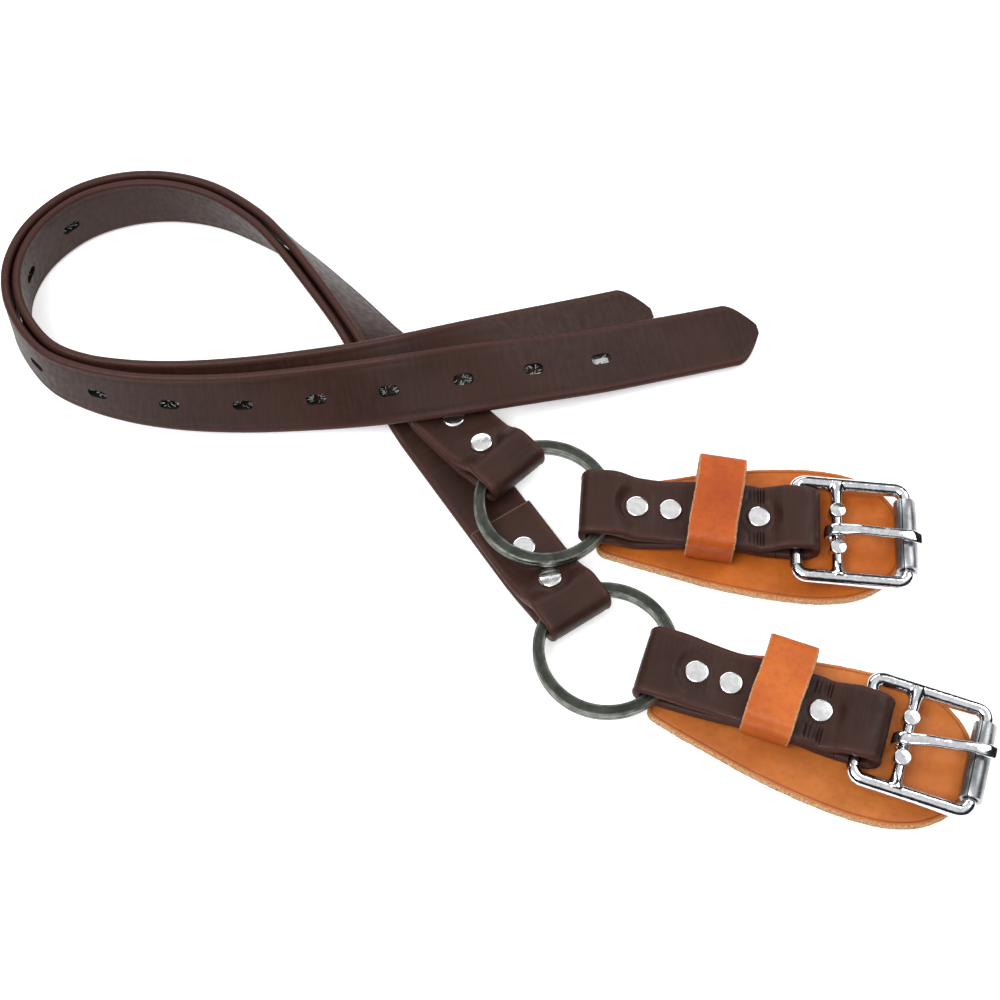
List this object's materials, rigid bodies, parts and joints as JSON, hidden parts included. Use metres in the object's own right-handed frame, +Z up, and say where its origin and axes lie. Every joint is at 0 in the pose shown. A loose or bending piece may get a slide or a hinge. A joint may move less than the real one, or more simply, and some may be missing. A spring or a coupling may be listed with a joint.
{
  "type": "tree climbing spur foot straps",
  "caption": "Pair of foot straps for tree climbing spurs: slotted coated straps on split rings, each with a padded heel-bar roller buckle and leather keeper.",
  "frame": {"origin": "centre of the footprint, on the surface that the straps lie on", "axes": "+X to the buckles, +Y to the far side of the loop, +Z up"},
  "size_m": [0.3542, 0.2572, 0.0308],
  "materials": {
    "strap": "dark brown coated webbing, satin, with smooth rounded rims and fine ripples across",
    "pad_leather": "tan vegetable-tanned leather, waxed face and pale raw edges",
    "keeper_leather": "tan vegetable-tanned leather, waxed face and pale raw edges",
    "ring": "dark oxidised steel wire, rubbed brighter along its edges",
    "rivet_nickel": "nickel plate, bright flat domes",
    "buckle_chrome": "chrome plate over a casting, bright with soft marks",
    "roller_steel": "rolled sheet steel tube, satin"
  },
  "bodies": {
    "long_straps": {"upper_long_strap": "strap", "upper_strap_rivet_1_post": "rivet_nickel", "upper_strap_rivet_1_cap": "rivet_nickel", "upper_strap_rivet_2_post": "rivet_nickel", "upper_strap_rivet_2_cap": "rivet_nickel", "lower_long_strap": "strap", "lower_strap_rivet_1_post": "rivet_nickel", "lower_strap_rivet_1_cap": "rivet_nickel", "lower_strap_rivet_2_post": "rivet_nickel", "lower_strap_rivet_2_cap": "rivet_nickel"},
    "upper_ring": {"upper_split_ring": "ring"},
    "upper_buckle_strap": {"upper_buckle_strap": "strap", "upper_pad": "pad_leather", "upper_buckle_rivet_1_post": "rivet_nickel", "upper_buckle_rivet_1_cap": "rivet_nickel", "upper_buckle_rivet_2_post": "rivet_nickel", "upper_buckle_rivet_2_cap": "rivet_nickel", "upper_buckle_rivet_3_post": "rivet_nickel", "upper_buckle_rivet_3_cap": "rivet_nickel"},
    "upper_keeper": {"upper_keeper": "keeper_leather"},
    "upper_frame": {"upper_buckle_frame": "buckle_chrome"},
    "upper_tongue": {"upper_buckle_tongue": "buckle_chrome"},
    "upper_roller": {"upper_buckle_roller": "roller_steel"},
    "lower_ring": {"lower_split_ring": "ring"},
    "lower_buckle_strap": {"lower_buckle_strap": "strap", "lower_pad": "pad_leather", "lower_buckle_rivet_1_post": "rivet_nickel", "lower_buckle_rivet_1_cap": "rivet_nickel", "lower_buckle_rivet_2_post": "rivet_nickel", "lower_buckle_rivet_2_cap": "rivet_nickel", "lower_buckle_rivet_3_post": "rivet_nickel", "lower_buckle_rivet_3_cap": "rivet_nickel"},
    "lower_keeper": {"lower_keeper": "keeper_leather"},
    "lower_frame": {"lower_buckle_frame": "buckle_chrome"},
    "lower_tongue": {"lower_buckle_tongue": "buckle_chrome"},
    "lower_roller": {"lower_buckle_roller": "roller_steel"}
  },
  "joints": [
    {"name": "upper_ring_spin", "type": "hinge", "parent": "long_straps", "child": "upper_ring", "pos_m": [0.026, -0.01182, 0.012], "axis": [0, 0, 1], "continuous": true},
    {"name": "upper_buckle_swing", "type": "hinge", "parent": "long_straps", "child": "upper_buckle_strap", "pos_m": [0.026, -0.01182, 0.012], "axis": [0, 0, 1], "range_deg": [0, 20]},
    {"name": "upper_keeper_slide", "type": "slide", "parent": "upper_buckle_strap", "child": "upper_keeper", "axis": [0.9974, -0.0715, 0], "range_m": [-0.002, 0.002]},
    {"name": "upper_frame_tilt", "type": "hinge", "parent": "upper_buckle_strap", "child": "upper_frame", "pos_m": [0.11537, -0.01822, 0.0097], "axis": [-0.0715, -0.9974, 0], "range_deg": [0, 75]},
    {"name": "upper_tongue_tilt", "type": "hinge", "parent": "upper_frame", "child": "upper_tongue", "pos_m": [0.13001, -0.01927, 0.00898], "axis": [-0.0715, -0.9974, 0], "range_deg": [0, 90]},
    {"name": "upper_roller_spin", "type": "hinge", "parent": "upper_frame", "child": "upper_roller", "pos_m": [0.15442, -0.02102, 0.00779], "axis": [0.0715, 0.9974, 0], "continuous": true},
    {"name": "lower_ring_spin", "type": "hinge", "parent": "long_straps", "child": "lower_ring", "pos_m": [0.0465, -0.06782, 0.0094], "axis": [0, 0, 1], "continuous": true},
    {"name": "lower_buckle_swing", "type": "hinge", "parent": "long_straps", "child": "lower_buckle_strap", "pos_m": [0.0465, -0.06782, 0.0094], "axis": [0, 0, 1], "range_deg": [-40, 0]},
    {"name": "lower_keeper_slide", "type": "slide", "parent": "lower_buckle_strap", "child": "lower_keeper", "axis": [0.95, -0.3123, 0], "range_m": [-0.002, 0.002]},
    {"name": "lower_frame_tilt", "type": "hinge", "parent": "lower_buckle_strap", "child": "lower_frame", "pos_m": [0.13161, -0.0958, 0.0097], "axis": [-0.3123, -0.95, 0], "range_deg": [0, 75]},
    {"name": "lower_tongue_tilt", "type": "hinge", "parent": "lower_frame", "child": "lower_tongue", "pos_m": [0.14556, -0.10039, 0.00898], "axis": [-0.3123, -0.95, 0], "range_deg": [0, 90]},
    {"name": "lower_roller_spin", "type": "hinge", "parent": "lower_frame", "child": "lower_roller", "pos_m": [0.16881, -0.10803, 0.00779], "axis": [0.3123, 0.95, 0], "continuous": true}
  ]
}
